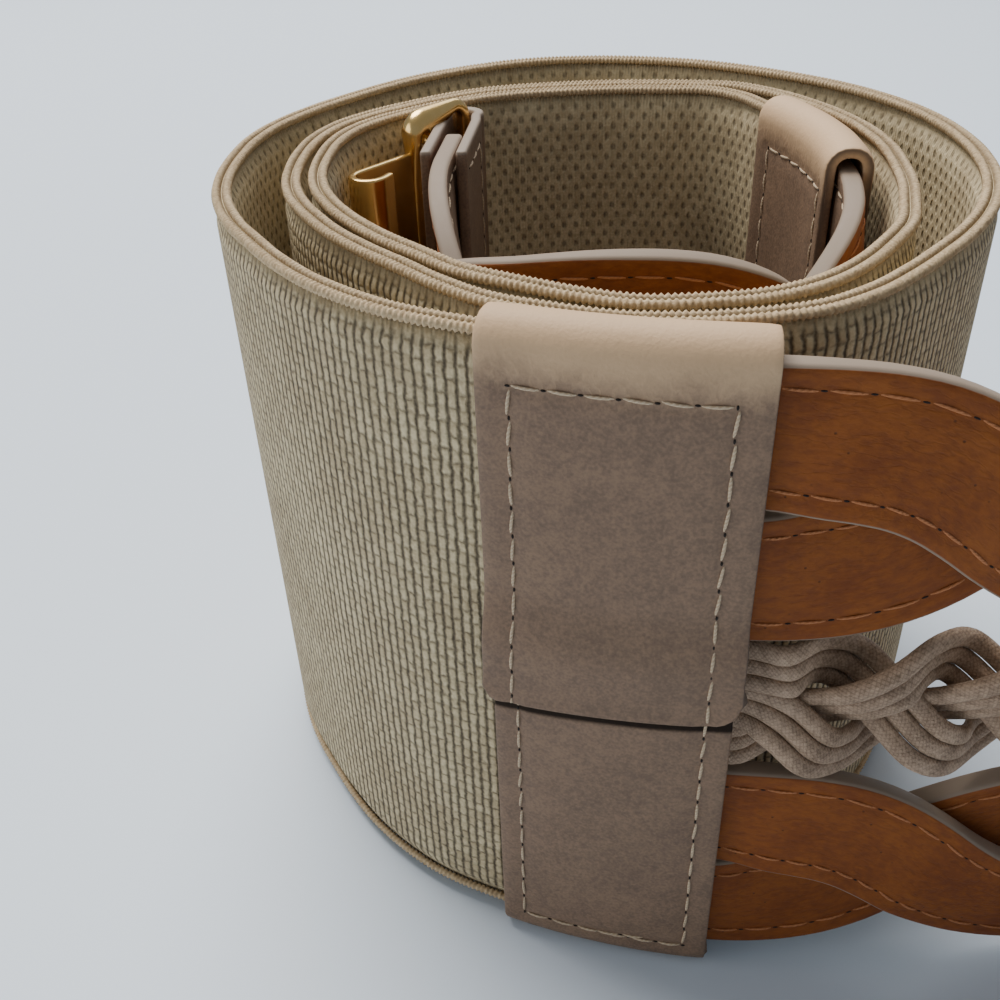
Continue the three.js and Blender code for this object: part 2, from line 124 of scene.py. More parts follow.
class Course:  # a smooth line with a frame that turns along it; distances in mm
    def __init__(self, centres, acrosses=None, outwards=None):
        self.marks = [0.0]
        for before, after in zip(centres, centres[1:]):
            self.marks.append(self.marks[-1] + (after - before).length / mm)
        self.centres = centres
        self.acrosses = acrosses or [upward] * len(centres)
        self.outwards = outwards or [self.sideways(i) for i in range(len(centres))]
        self.known = {}

    def slope(self, rows, i):
        before, after = max(i - 1, 0), min(i + 1, len(rows) - 1)
        return (rows[after] - rows[before]) / (self.marks[after] - self.marks[before])

    def sideways(self, i):
        along = self.slope(self.centres, i)
        return Vector((-along.y, along.x, 0)).normalized()

    def smooth(self, rows, i, target):
        span = self.marks[i] - self.marks[i - 1]
        t = min(max((target - self.marks[i - 1]) / span, 0), 1)
        first, last = self.slope(rows, i - 1) * span, self.slope(rows, i) * span
        ease = t * t * (3 - 2 * t)
        value = rows[i - 1].lerp(rows[i], ease) + (first * (1 - t) - last * t) * (t * (1 - t))
        past = target - self.marks[i - 1] - t * span
        return value + self.slope(rows, i if t else 0) * past

    def at(self, target):
        key = round(target, 4)
        if key not in self.known:
            i = min(max(bisect.bisect(self.marks, target), 1), len(self.marks) - 1)
            outward = self.smooth(self.outwards, i, target).normalized()
            across = self.smooth(self.acrosses, i, target).normalized()
            self.known[key] = (self.smooth(self.centres, i, target), outward, across)
        return self.known[key]

    def place(self, along, out, up):
        centre, outward, across = self.at(along)
        return centre + outward * (out * mm) + across * (up * mm)


def readStrip(node, startNode):  # a strip's own course, with its twist
    rings = readRings(node, startNode)
    course = Course([middleOf(ring) for ring in rings])
    acrosses, outwards = [], []
    for i, ring in enumerate(rings):
        ring.sort(key=lambda p: p.z)
        half = len(ring) // 2
        across = (middleOf(ring[half:]) - middleOf(ring[:half])).normalized()
        out = Vector()
        for point in ring:
            offset = point - course.centres[i]
            offset -= across * offset.dot(across)
            out += offset if offset.dot(course.outwards[i]) > 0 else -offset
        acrosses.append(across)
        outwards.append(out.normalized())
    return Course(course.centres, acrosses, outwards)


strapNames = ["strap_1", "strap_2", "strap_3", "strap_4"]
strandNames = ["braid_strand_1", "braid_strand_2", "braid_strand_3"]
strips = {}
middles = {}
for side, startNode in (("outer", "outer_clasp_tab"), ("inner", "inner_elastic_tab")):
    for name in strapNames + strandNames:
        strips[f"{side}_{name}"] = readStrip(f"{side}_{name}", startNode)
    sectionStrips = [strips[f"{side}_{name}"] for name in strapNames]
    middles[side] = [middleOf(points) for points in zip(*[strip.centres for strip in sectionStrips])]
bandRings = [middleOf(ring) for ring in readRings("elastic_band", "outer_elastic_tab")]
belt = Course(middles["outer"] + bandRings + middles["inner"])
bandFrom = belt.marks[len(middles["outer"])]
bandTo = belt.marks[len(middles["outer"]) + len(bandRings) - 1]

beltSizes = {
    "seatDepth": 9,  # mm of band and straps inside a tab
    "tabLength": 23.5,
    "claspTabLength": 17.6,
    "leather": 1.2,
    "bandThickness": 2.5,
    "clearance": 0.3,
}
middleHeight = middleOf(belt.centres).z / mm
bandLow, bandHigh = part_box("elastic_band")
bandWidth = (bandHigh.z - bandLow.z) / mm
bandStart = bandFrom + beltSizes["seatDepth"]
bandEnd = bandTo - beltSizes["seatDepth"]
print("courses read, band", round(bandEnd - bandStart), "mm long")


# Making shapes: a grid is rolled to a form in the straight belt, then laid on its course


def gridForm(steps, sides, shape, roundAcross=False, roundAlong=False):
    bm = bmesh.new()
    bmesh.ops.create_grid(bm, x_segments=steps, y_segments=sides, size=0.5)
    for v in bm.verts:
        v.co = shape(v.co.x + 0.5, v.co.y + 0.5)
    if roundAcross or roundAlong:
        bmesh.ops.remove_doubles(bm, verts=bm.verts, dist=0.0005)
        if not (roundAcross and roundAlong):
            bmesh.ops.holes_fill(bm, edges=[e for e in bm.edges if e.is_boundary], sides=0)
        bmesh.ops.recalc_face_normals(bm, faces=bm.faces)
    bm.normal_update()
    return bm


def layOn(bm, place, start=0.0):
    own = bm.verts.layers.float_vector.new(placeName)
    for v in bm.verts:
        v[own] = v.co
        v.co = place(start + v.co.x, v.co.y, v.co.z)
    return bm


def roundRims(bm, size, segments=2, least=50):
    rims = [e for e in bm.edges if e.is_manifold and e.calc_face_angle() > math.radians(least)]
    bmesh.ops.bevel(
        bm,
        geom=rims,
        offset=size,
        segments=segments,
        profile=0.5,
        affect="EDGES",
        material=-1,
        clamp_overlap=True,
    )


def joinForms(forms):
    whole = bmesh.new()
    spare = bpy.data.meshes.new("spare")
    for bm in forms:
        bm.to_mesh(spare)
        bm.free()
        whole.from_mesh(spare)
    bpy.data.meshes.remove(spare)
    return whole


def addPiece(name, bm, material, body="belt", replaces=None):
    mesh = bpy.data.meshes.new(name)
    bm.to_mesh(mesh)
    bm.free()
    mesh.shade_smooth()
    piece = bpy.data.objects.new(name, mesh)
    piece.data.materials.append(material)
    bpy.context.scene.collection.objects.link(piece)
    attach(piece, body)
    if replaces:
        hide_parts(replaces)
    return piece


# Shader sums: a Value holds one output, and arithmetic on it adds Math nodes


class Value:
    def __init__(self, shader, socket):
        self.shader, self.socket = shader, socket

    def math(self, operation, *others):
        inputs = dict(enumerate([self, *others]))
        return self.shader.node("ShaderNodeMath", {"operation": operation}, inputs)

    def __add__(self, other):
        return self.math("ADD", other)

    def __sub__(self, other):
        return self.math("SUBTRACT", other)

    def __rsub__(self, other):
        return self.math("MULTIPLY_ADD", -1, other)

    def __mul__(self, other):
        return self.math("MULTIPLY", other)

    def __truediv__(self, other):
        return self.math("DIVIDE", other)

    __radd__ = __add__
    __rmul__ = __mul__

    def smooth(self, low, high):  # 0 below low and 1 above high, or the reverse where low is above high
        flip = low > high
        inputs = {"Value": self, "From Min": min(low, high), "From Max": max(low, high)}
        inputs.update({"To Min": 1.0, "To Max": 0.0} if flip else {"To Min": 0.0, "To Max": 1.0})
        return self.shader.node("ShaderNodeMapRange", {"interpolation_type": "SMOOTHSTEP"}, inputs)


class Shader:
    def __init__(self, name):
        self.material = bpy.data.materials.new(name)
        self.material.use_nodes = True
        self.tree = self.material.node_tree
        self.surface = self.tree.nodes["Principled BSDF"]

    def node(self, kind, settings, inputs, output=0):
        made = self.tree.nodes.new(kind)
        for key, value in settings.items():
            setattr(made, key, value)
        for key, value in inputs.items():
            if isinstance(value, Value):
                self.tree.links.new(value.socket, made.inputs[key])
            else:
                made.inputs[key].default_value = value
        return Value(self, made.outputs[output])

    def beltPlace(self):
        place = self.node("ShaderNodeAttribute", {"attribute_name": placeName}, {}, "Vector")
        return place, [self.node("ShaderNodeSeparateXYZ", {}, {"Vector": place}, axis) for axis in "XYZ"]

    def noise(self, place, scale, detail=2.0, stretch=(1, 1, 1)):
        moved = self.node("ShaderNodeVectorMath", {"operation": "MULTIPLY"}, {0: place, 1: stretch})
        return self.node("ShaderNodeTexNoise", {}, {"Vector": moved, "Scale": scale, "Detail": detail}, "Fac")

    def mix(self, factor, first, second):
        return self.node("ShaderNodeMix", {"data_type": "RGBA"}, {0: factor, 6: first, 7: second}, 2)

    def finish(self, colour, roughness, height, depth, **fixed):
        links = {"Base Color": colour, "Roughness": roughness}
        if height is not None:
            bump = self.node("ShaderNodeBump", {}, {"Height": height, "Distance": depth * mm})
            links["Normal"] = bump
        for key, value in links.items():
            if isinstance(value, Value):
                self.tree.links.new(value.socket, self.surface.inputs[key])
            else:
                self.surface.inputs[key].default_value = value
        for key, value in fixed.items():
            self.surface.inputs[key].default_value = value
        return self.material


def colour(red, green, blue):  # as the eye reads it, from 0 to 255
    return tuple(((c / 255 + 0.055) / 1.055) ** 2.4 for c in (red, green, blue)) + (1.0,)


# Elastic band

weave = {
    "columnPitch": 1.02,  # mm, on the outer face
    "loopPitch": 1.4,
    "holePitch": 1.75,  # mm, between columns of holes on the inner face
    "holeRise": 2.8,
    "ribPitch": 0.44,
    "columnWander": 0.5,  # mm
    "loopWander": 0.9,
    "loopGap": 0.42,  # depth of the gap between two loops, as a share of a loop's height
    "loopEndDepth": 0.3,
    "holeDepth": 0.66,
    "relief": 0.26,  # mm
    "light": colour(180, 160, 124),
    "bright": colour(222, 204, 164),
    # painted shade colour for the weave's gaps, loop ends and holes and the channel between the rim ropes
    "dark": colour(62, 50, 34),
    "rimLight": colour(178, 152, 116),
    "rimBright": colour(208, 184, 146),
    "rimZone": 1.9,  # mm under a rim where the weave closes up
}


def elasticMaterial():
    shader = Shader("wovenElastic")
    place, (along, outward, up) = shader.beltPlace()
    wobble = shader.noise(place, 0.9, 3.0) - 0.5
    column = (along + wobble * weave["columnWander"]) / weave["columnPitch"]
    row = (up - wobble * weave["loopWander"]) / weave["loopPitch"]
    acrossLoop = (column.math("FRACT") - 0.5).math("ABSOLUTE").smooth(0.5, 0.16)
    upLoop = (row.math("FRACT") - 0.5).math("ABSOLUTE").smooth(0.5, 0.12)
    loopEnd = (((row + column.math("FLOOR")) * 0.5).math("FRACT") - 0.5).math("ABSOLUTE").smooth(0.41, 0.5)
    loop = acrossLoop * (upLoop * weave["loopGap"] + (1 - weave["loopGap"]))
    loop = loop - loopEnd * acrossLoop * acrossLoop * weave["loopEndDepth"]
    cell = shader.node("ShaderNodeCombineXYZ", {}, {"X": column.math("FLOOR"), "Y": row.math("FLOOR")})
    shade = shader.node("ShaderNodeTexWhiteNoise", {"noise_dimensions": "2D"}, {"Vector": cell}, "Value")
    turn = 2 * math.pi
    acrossHole = (along * (turn / weave["holePitch"])).math("COSINE")
    upHole = (up * (turn / weave["holeRise"])).math("COSINE")
    hole = (acrossHole * 0.5 + upHole * 0.5).math("ABSOLUTE").smooth(0.45, 1.0)
    rib = (along * (turn / weave["ribPitch"])).math("SINE") * 0.5 + 0.5
    inside = 0.86 - hole * weave["holeDepth"] + rib * 0.14
    isOuter = outward.smooth(-0.1, 0.1)
    zone = bandWidth / 2 - weave["rimZone"]
    nearRim = up.math("ABSOLUTE").smooth(zone - 0.8, zone + 0.6)
    closed = rib * 0.25 + 0.62
    height = loop * isOuter + inside * (1 - isOuter)
    height = height * (1 - nearRim * 0.8) + closed * (nearRim * 0.8)
    tone = shader.noise(place, 0.05, 3.0)
    fibre = shader.noise(place, 2.8, 3.0)
    light = (tone * 0.6 + fibre * 0.7 + shade * 0.25).smooth(0.4, 1.15)
    light = shader.mix(light, weave["light"], weave["bright"])
    # painted shade: the weave darkens with its height, in the gaps between columns, at the loop ends and in
    # the inner face's holes
    painted = shader.mix((height + fibre * 0.5 - 0.1).smooth(-0.1, 1.05), weave["dark"], light)
    return shader.finish(painted, 0.9, height + fibre * 0.2, weave["relief"])


def rimMaterial():
    shader = Shader("rimRope")
    place, (_, outward, _) = shader.beltPlace()
    fibre = shader.noise(place, 2.2, 3.0)
    # painted shade in the channel between the two rim ropes
    channelShade = outward.math("ABSOLUTE").smooth(0.55, 0.1)
    painted = shader.mix(fibre.smooth(0.25, 0.7), weave["rimLight"], weave["rimBright"])
    painted = shader.mix(channelShade * 0.45, painted, weave["dark"])
    return shader.finish(painted, 0.88, fibre, 0.14)


def makeBand():
    band = {
        "step": 1.6,  # mm
        "hollow": 0.25,  # mm from the rims' width to the woven face
        "edgeInset": 0.4,  # mm from the rims' top to the body's edge
        "faceRows": 26,
        "rimSpread": 0.55,  # mm from the middle plane to a rim rope's middle
        "rimRadius": 0.58,
        "beadPitch": 0.58,
        "beadDepth": 0.12,
        "beadSteps": 4,  # to each bead
        "ropeSides": 7,
        "wander": 0.7,  # radians, how far the beads drift
        "wanderTurn": 0.37,  # radians for each mm
        "beadLean": 0.9,
    }
    length = bandTo - bandFrom
    halfThick = beltSizes["bandThickness"] / 2 - band["hollow"]
    top = bandWidth / 2 - band["edgeInset"]
    rows = band["faceRows"]

    def bodyShape(u, v):  # up the outer face and down the inner one
        side = 1 if v <= 0.5 else -1
        share = 2 * v if side > 0 else 2 - 2 * v
        up = -math.cos(math.pi * share) if share in (0, 1) else 2 * share - 1
        return Vector((u * length, side * halfThick * (1 if 0 < share < 1 else 0.0), up * top))

    body = gridForm(round(length / band["step"]), 2 * rows, bodyShape, roundAcross=True)
    body = layOn(body, belt.place, bandFrom)
    addPiece("elastic_weave", body, elasticMaterial(), replaces="elastic_band")

    beadSteps = round(length / band["beadPitch"]) * band["beadSteps"]
    ropeLook = rimMaterial()
    for end, rimName in ((1, "elastic_rim_top"), (-1, "elastic_rim_bottom")):
        ropes = []
        for side in (1, -1):

            def ropeShape(u, v):
                angle = 2 * math.pi * v
                along = u * length
                wander = band["wander"] * math.sin(along * band["wanderTurn"] + side)
                wander += side * band["beadLean"] * math.sin(angle)
                bead = math.cos(2 * math.pi * along / band["beadPitch"] + wander)
                radius = band["rimRadius"] + band["beadDepth"] * (bead - 1)
                height = end * (bandWidth / 2 - band["rimRadius"]) + radius * math.sin(angle)
                return Vector((along, side * band["rimSpread"] + radius * math.cos(angle), height))

            rope = gridForm(beadSteps, band["ropeSides"], ropeShape, roundAcross=True)
            ropes.append(layOn(rope, belt.place, bandFrom))
        addPiece(rimName, joinForms(ropes), ropeLook)


makeBand()
print("band made")


# Leather

hide = {
    "taupe": colour(144, 117, 94),
    "taupeHighlight": colour(234, 196, 152),
    # painted highlight colour for the lit top fold of the tabs; lighter creases also lean to it
    "taupeDark": colour(112, 91, 75),
    "tan": colour(150, 84, 28),
    "tanDark": colour(118, 58, 14),
    "edge": colour(146, 129, 112),
    # painted shade for the tabs' cut end faces, which sit in shade
    "cut": colour(92, 78, 68),
    "thread": colour(206, 186, 156),
    "tanThread": colour(186, 120, 74),
    # near-black painted shade, for needle holes, the strap's pores and wrinkles and the gap under a tab's
    # upper flap
    "hole": colour(30, 21, 15),
}


def creases(shader, place, scale, stretch, width):  # 1 along thin wandering lines
    return (shader.noise(place, scale, 3.0, stretch) - 0.5).math("ABSOLUTE").smooth(width, 0.0)


def taupeLook(shader, place, foldHighlightShare, creaseShare):  # colour and height of the taupe leather
    mottle = shader.noise(place, 0.2, 4.0)
    pebble = shader.noise(place, 1.3, 4.0)
    fibre = shader.noise(place, 3.4, 3.0)
    crease = creases(shader, place, 0.7, (1.0, 1.0, 0.6), 0.09) * creaseShare
    grain = (mottle * 0.3 + pebble * 0.35 + fibre * 0.6).smooth(0.4, 0.85)
    base = shader.mix(grain, hide["taupeDark"], hide["taupe"])
    # painted highlight: the fold share lightens the leather where light falls on the top fold; creases lean a
    # little the same way
    base = shader.mix(foldHighlightShare * 0.7 + crease * 0.12, base, hide["taupeHighlight"])
    return base, fibre * 0.6 + pebble * 0.6 + crease * 0.5


tab = {
    "seam": -0.7,  # mm, the upper flap's edge, from the belt's middle line
    "seamRise": 1.6,  # how much higher that edge is by the straps
    "lap": 4.5,
    "flapGap": 0.1,
    "flare": 0.35,  # how far the upper flap's edge stands off
    "foldRadius": 1.9,  # of the leather's middle
    "mouthCorner": 2.6,  # radius of the upper flap's corner by the straps
    "bandCorner": 1.6,
    "lowerInset": 0.45,  # the lower flap is this much shorter at each end
    "undercut": 0.4,  # how deep the lower flap dips beneath the upper one's edge
    "undercutReach": 2.2,  # mm below that edge
    "step": 0.7,
    "rim": 0.32,
    "edgeRoll": 0.14,
    "stitchInset": 2.9,
    "stitchTop": 33.4,
    "stitchBottom": -35.4,
    "stitchPitch": 3.0,
    "stitchWidth": 0.32,
    "groove": 0.2,
    "grooveWidth": 0.7,
    "easeFrom": 1.0,  # mm above the lower flap's end, where the upper flap starts to come in
    "ease": 8,
    "flareReach": 1.6,
    "cornerFade": 12,
    "rollReach": 0.8,
    "flapShare": 0.8,  # of the wrap, after which the round corners count
    "threadSeat": 0.75,  # of the groove
    "stitchSlant": 0.05,
    "stitchJitter": 0.12,
    "barFrom": (4, 0.5),  # mm from the lower left corner of the stitch line
    "barTo": (9.5, -0.1),
    "barSlant": 0.08,
    "barJitter": 0.15,
}
tab["wrap"] = beltSizes["bandThickness"] / 2 + beltSizes["clearance"] + beltSizes["leather"] / 2
tab["outer"] = tab["wrap"] + beltSizes["leather"] + tab["flapGap"]


def tabMaterial(mouthFirst):
    shader = Shader("tabLeather")
    place, (along, outward, up) = shader.beltPlace()
    wander = shader.noise(place, 0.25, 1.0) * 2.0 - 1.0
    # painted highlight: the top fold, where the light falls, is lightened over about its top 6 mm
    fold = (up + wander).smooth(middleHeight - 6.4, middleHeight - 1.2)
    creased = (up + wander).smooth(middleHeight - 7.5, middleHeight - 4.5) * (1 - fold)
    base, height = taupeLook(shader, place, fold, creased)
    half = beltSizes["tabLength"] / 2
    # painted shade on the tab's cut ends
    cutShadeMask = (along - half).math("ABSOLUTE").smooth(half - 0.12, half - 0.02)
    painted = shader.mix(cutShadeMask * 0.8, base, hide["cut"])
    share = along / beltSizes["tabLength"]
    # painted shadow: a near-black band on the lower flap just below the upper flap's edge, made fully rough
    # so it shows no sheen
    edge = (1 - share if mouthFirst else share) * tab["seamRise"] + (tab["seam"] - tab["undercutReach"])
    flapEnd = tab["seam"] + tab["lap"]
    shadowBeneath = (up - edge).smooth(-0.3, 0.2) * up.smooth(flapEnd + 1, flapEnd)
    shadowBeneath = shadowBeneath * outward.smooth(0.0, 0.5) * outward.smooth(tab["wrap"] + 1.2, tab["wrap"] + 0.9)
    painted = shader.mix(shadowBeneath * 0.95, painted, hide["hole"])
    return shader.finish(painted, 0.6 + shadowBeneath * 0.4, height, 0.06, **{"Specular IOR Level": 0.3})


def strapMaterial(width):
    shader = Shader("strapLeather")
    place, (_, outward, up) = shader.beltPlace()
    grain = shader.noise(place, 1.2, 3.0, (0.7, 1, 1.3))
    mottle = shader.noise(place, 0.14, 3.0)
    fibre = shader.noise(place, 3.2, 3.0, (0.6, 1, 1.2))
    wrinkle = creases(shader, place, 0.6, (0.5, 1, 1.5), 0.05)
    spots = shader.node("ShaderNodeTexVoronoi", {}, {"Vector": place, "Scale": 0.6}, "Distance")
    pores = spots.smooth(0.1, 0.03) * mottle.smooth(0.42, 0.55)
    tone = (grain * 0.5 + mottle * 0.5 + fibre * 0.25).smooth(0.4, 0.9)
    back = shader.mix(tone, hide["tanDark"], hide["tan"])
    # painted shade in the pores and wrinkles of the strap's back
    back = shader.mix(wrinkle * 0.08 + pores * 0.6, back, hide["hole"])
    front = taupeLook(shader, place, 0.0, 0.0)[0]
    faces = shader.mix(outward.smooth(-0.2, 0.2), front, back)
    isEdge = up.math("ABSOLUTE").smooth(width / 2 - 0.36, width / 2 - 0.22)
    painted = shader.mix(isEdge, faces, hide["edge"])
    height = (grain * 0.8 + fibre * 0.6 - pores * 0.6 - wrinkle * 0.25) * (1 - isEdge)
    return shader.finish(painted, 0.55 + grain * 0.2, height, 0.06, **{"Specular IOR Level": 0.3})


def threadMaterial(name, tint):
    shader = Shader(name)
    along, _, up = shader.beltPlace()[1]
    twist = ((along + up * 1.3) * 12.0).math("SINE") * 0.5 + 0.5
    painted = shader.mix(twist * 0.25, tint, hide["tan"])
    return shader.finish(painted, 0.75, twist, 0.05)


creamThread = threadMaterial("creamThread", hide["thread"])
tanThread = threadMaterial("tanThread", hide["tanThread"])
# needle holes: near-black pieces of painted shade where the thread goes into the leather
holeShadeShader = Shader("needleHoleShade")
needleHoleShade = holeShadeShader.finish(hide["hole"], 0.9, None, 0)


# Stitches: threads that dip into the leather at each end, with a near-black piece of painted shade standing
# for the needle hole between two of them


stitch = {
    "reach": 0.42,  # from a thread's middle to its end, as a share of a step
    "fullness": 0.75,  # below 1 keeps a thread wide towards its ends
    "height": 0.4,  # shares of a thread's width, from here on
    "rise": 0.35,
    "dip": 1.6,  # how far the ends sink, as a share of the rise
    "holeWidth": 0.36,
    "holeDepth": 0.3,
    "holeShift": 0.3,  # of the lean
    "holeLength": 0.08,  # of a step
}


def stitchRun(start, end, face, pitch, width, slant=0.0, jitter=0.0, seed=1):
    draw = random.Random(seed)
    count = max(round((end - start).length / pitch), 1)
    step = (end - start) / count
    along = step.normalized()
    across = Vector((-along.y, along.x))  # in the face's plane: x along the belt, y up
    threads, holes = [], []
    for i in range(count):
        middle = start + step * (i + 0.5)
        lean = slant + jitter * draw.uniform(-1, 1)
        reach = step.length * stitch["reach"]
        thread = bmesh.new()
        bmesh.ops.create_uvsphere(thread, u_segments=7, v_segments=6, radius=1)
        for v in thread.verts:
            ahead, side, rise = v.co.z, v.co.x, v.co.y
            run = math.copysign(abs(ahead) ** stitch["fullness"], ahead)
            spot = middle + along * (run * reach) + across * (side * width / 2 + lean * run)
            lift = rise * width * stitch["height"] + width * stitch["rise"] * (1 - stitch["dip"] * run * run)
            v.co = Vector((spot.x, face(spot.y, spot.x, lift), spot.y))
        threads.append(thread)
        hole = bmesh.new()
        bmesh.ops.create_uvsphere(hole, u_segments=7, v_segments=4, radius=1)
        gap = start + step * (i + 1)
        for v in hole.verts:
            side = v.co.x * width * stitch["holeWidth"] - lean * stitch["holeShift"]
            spot = gap + along * (v.co.z * step.length * stitch["holeLength"]) + across * side
            v.co = Vector((spot.x, face(spot.y, spot.x, v.co.y * width * stitch["holeDepth"]), spot.y))
        holes.append(hole)
    return threads, holes


def addStitches(name, runs, place, start, thread):
    threads = joinForms([form for run in runs for form in run[0]])
    holes = joinForms([form for run in runs for form in run[1]])
    addPiece(name + "_stitches", layOn(threads, place, start), thread)
    addPiece(name + "_needle_holes", layOn(holes, place, start), needleHoleShade)


# Leather tabs over the ends of the band


def arc(y, z, radius, start, end, count):
    angles = [math.radians(start + (end - start) * i / count) for i in range(count + 1)]
    return [Vector((y + radius * math.cos(a), z + radius * math.sin(a))) for a in angles]


def flapOffset(up):  # how far the upper flap stands out where it laps over the lower one
    start = tab["seam"] + tab["lap"] + tab["easeFrom"]
    t = min(max((up - start) / tab["ease"], 0), 1)
    flare = tab["flare"] * math.exp(-max(up - tab["seam"], 0) / tab["flareReach"])
    return tab["wrap"] + (tab["outer"] - tab["wrap"]) * (1 - t * t * (3 - 2 * t)) + flare


def grooveAt(along, up):  # how deep the stitch line has drawn the leather in
    left, right = tab["stitchInset"], beltSizes["tabLength"] - tab["stitchInset"]
    past, far = 1, 9  # mm: how far a groove runs past its corners, and where it has no effect
    top, bottom = tab["stitchTop"], tab["stitchBottom"]
    toSide = min(abs(along - left), abs(along - right)) if bottom - past < up < top + past else far
    toEnd = min(abs(up - top), abs(up - bottom)) if left - past < along < right + past else far
    return tab["groove"] * math.exp(-((min(toSide, toEnd) / tab["grooveWidth"]) ** 2))


def wrapLine():  # y outward and z up, from the lower flap's end round the band to the upper flap's
    low = -middleHeight + beltSizes["leather"] / 2
    radius, wrap = tab["foldRadius"], tab["wrap"]
    line = [Vector((wrap, tab["seam"] + tab["lap"]))]
    foldSteps = 6
    line += arc(wrap - radius, low + radius, radius, 0, -90, foldSteps)
    line += arc(radius - wrap, low + radius, radius, -90, -180, foldSteps)
    line += arc(radius - wrap, -low - radius, radius, 180, 90, foldSteps)
    line += arc(wrap - radius, -low - radius, radius, 90, 0, foldSteps)
    flapTop = tab["seam"] + tab["lap"] + (tab["easeFrom"] + tab["ease"])
    flapSteps = 24
    for i in range(flapSteps + 1):
        up = flapTop + (tab["seam"] - flapTop) * i / flapSteps
        line.append(Vector((flapOffset(up), up)))
    return line


def evenPoints(line, step):
    marks = [0.0]
    for before, after in zip(line, line[1:]):
        marks.append(marks[-1] + (after - before).length)
    count = round(marks[-1] / step)
    points = []
    for k in range(count + 1):
        target = marks[-1] * k / count
        i = min(max(bisect.bisect(marks, target), 1), len(marks) - 1)
        points.append(line[i - 1].lerp(line[i], (target - marks[i - 1]) / max(marks[i] - marks[i - 1], 1e-6)))
    return points


def outwardAt(points, i):
    along = (points[min(i + 1, len(points) - 1)] - points[max(i - 1, 0)]).normalized()
    return Vector((-along.y, along.x))


def cornerRise(reach, radius):  # how far a round corner lifts the edge at a distance from the side
    short = max(radius - reach, 0)
    return radius - math.sqrt(radius * radius - short * short)


def seamRise(fromMouth):
    return tab["seamRise"] * (1 - fromMouth / beltSizes["tabLength"])


def makeElasticTab(side, start, mouthFirst):
    points = evenPoints(wrapLine(), tab["step"])
    normals = [outwardAt(points, i) for i in range(len(points))]
    count = len(points) - 1
    length, half = beltSizes["tabLength"], beltSizes["leather"] / 2
    lowerEnd = next(i for i, point in enumerate(points) if point.y < 1 - middleHeight)

    def shape(u, v):
        i = round(v * count)
        inset = tab["lowerInset"] if i < lowerEnd else 0
        along = inset + u * (length - 2 * inset)
        point, normal = points[i].copy(), normals[i]
        if i > count * tab["flapShare"]:
            reaches = (along, length - along) if mouthFirst else (length - along, along)
            rise = max(cornerRise(reaches[0], tab["mouthCorner"]), cornerRise(reaches[1], tab["bandCorner"]))
            rise += seamRise(reaches[0])
            point.y += rise * (1 - min(max((point.y - tab["seam"]) / tab["cornerFade"], 0), 1))
        fromEnds = (along / tab["rollReach"], (length - along) / tab["rollReach"])
        roll = tab["edgeRoll"] * sum(math.exp(-reach) for reach in fromEnds)
        fromMouth = along if mouthFirst else length - along
        above = point.y - (tab["seam"] + seamRise(fromMouth) - tab["undercutReach"]) if i < lowerEnd else 0
        dip = tab["undercut"] * min(max(above, 0), 1)
        level = half - roll - max(dip, grooveAt(along, point.y) * (1 - dip / tab["undercut"]))
        spot = point + normal * level
        return Vector((along, spot.x, spot.y))

    bm = gridForm(round(length / tab["step"]), count, shape)
    bmesh.ops.solidify(bm, geom=bm.faces[:], thickness=beltSizes["leather"])
    roundRims(bm, tab["rim"])
    name = f"{side}_elastic_tab"
    wrapped = layOn(bm, belt.place, start)
    addPiece(f"{name}_leather", wrapped, tabMaterial(mouthFirst), replaces=name)

    def outerFace(up, along, lift):
        edge = tab["seam"] + seamRise(along if mouthFirst else length - along)
        level = tab["wrap"] if up < edge else flapOffset(up)
        return level + half - tab["groove"] * tab["threadSeat"] + lift

    def innerFace(up, along, lift):
        return -tab["wrap"] - half + tab["groove"] * tab["threadSeat"] - lift

    left, right = tab["stitchInset"], length - tab["stitchInset"]
    corners = [
        Vector((left, tab["stitchBottom"])),
        Vector((left, tab["stitchTop"])),
        Vector((right, tab["stitchTop"])),
        Vector((right, tab["stitchBottom"])),
    ]
    runs = []
    pitch, width = tab["stitchPitch"], tab["stitchWidth"]
    slant, jitter = tab["stitchSlant"], tab["stitchJitter"]
    for face in (outerFace, innerFace):
        for i, corner in enumerate(corners):
            onward = corners[(i + 1) % len(corners)]
            runs.append(stitchRun(corner, onward, face, pitch, width, slant, jitter, seed=i))
    barStart, barEnd = [corners[0] + Vector(tab[key]) for key in ("barFrom", "barTo")]
    bar = stitchRun(barStart, barEnd, outerFace, pitch, width, tab["barSlant"], tab["barJitter"], seed=9)
    runs.append(bar)
    addStitches(name, runs, belt.place, start, creamThread)


makeElasticTab("outer", bandStart - beltSizes["tabLength"], True)
makeElasticTab("inner", bandEnd, False)
print("elastic tabs made")


# Straps

strapSizes = {
    "width": 13.4,
    "thickness": 2.2,
    "round": 0.5,
    "step": 1.3,
    "stitchInset": 2.1,
    "stitchPitch": 3.4,
    "stitchWidth": 0.3,
    "groove": 0.14,
    "grooveWidth": 0.55,
    "stitchEnd": 2,  # mm from a strap's end
    "stitchSlant": 0.07,
    "stitchJitter": 0.05,
    "faceRows": 22,
}


def strapFace(up):  # half the strap's thickness at a height across it
    line = strapSizes["width"] / 2 - strapSizes["stitchInset"]
    dip = strapSizes["groove"] * math.exp(-(((abs(up) - line) / strapSizes["grooveWidth"]) ** 2))
    return strapSizes["thickness"] / 2 - dip


def strapProfile():
    half, thick, radius = strapSizes["width"] / 2, strapSizes["thickness"] / 2, strapSizes["round"]
    faceRows = strapSizes["faceRows"]
    outer = []
    for i in range(faceRows + 1):
        up = (half - radius) * (2 * i / faceRows - 1)
        outer.append(Vector((strapFace(up), up)))
    topEdge = arc(thick - radius, half - radius, radius, 0, 90, 3)[1:]
    topEdge += arc(radius - thick, half - radius, radius, 90, 180, 3)[:-1]
    return outer + topEdge + [-p for p in outer] + [-p for p in topEdge]


